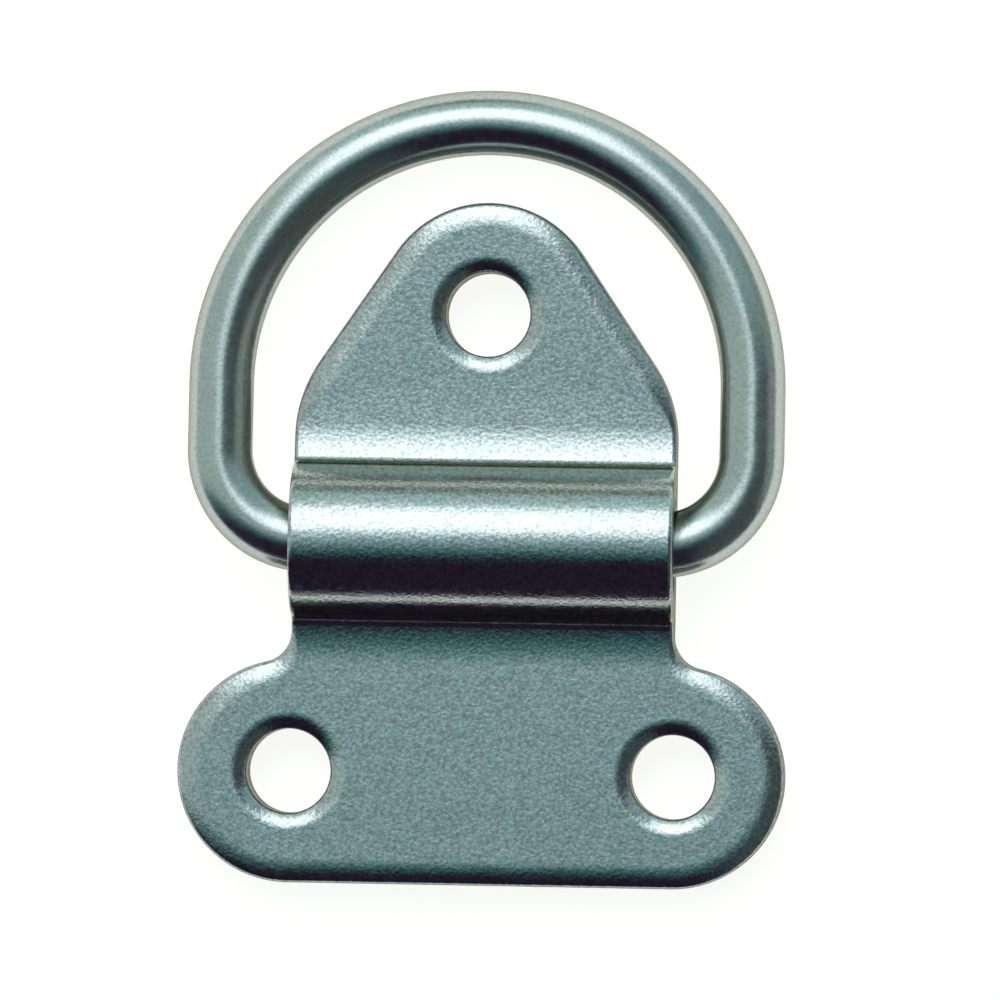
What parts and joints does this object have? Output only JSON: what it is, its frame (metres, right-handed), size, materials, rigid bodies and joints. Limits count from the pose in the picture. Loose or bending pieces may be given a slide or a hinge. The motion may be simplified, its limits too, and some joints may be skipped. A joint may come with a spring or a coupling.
{
  "type": "folding pad eye",
  "caption": "Flat deck pad eye: a stamped cover plate with a rolled barrel over a backing plate, holding a folding D ring.",
  "frame": {"origin": "on the deck plane, straight below the middle of the ring's hinge line", "axes": "+Z away from the deck, +Y towards the single-hole end, +X along the hinge line"},
  "size_m": [0.0468, 0.0613, 0.0105],
  "materials": {
    "plate_steel": "tumbled satin stainless steel",
    "backing_steel": "mill-finish stainless steel",
    "ring_steel": "polished stainless bar"
  },
  "bodies": {
    "plates": {"cover_plate": "plate_steel", "backing_plate": "backing_steel"},
    "ring": {"d_ring": "ring_steel"}
  },
  "joints": [
    {"name": "ring_swing", "type": "hinge", "parent": "plates", "child": "ring", "pos_m": [0, 0, 0.0046], "axis": [1, 0, 0], "range_deg": [0, 169]}
  ]
}
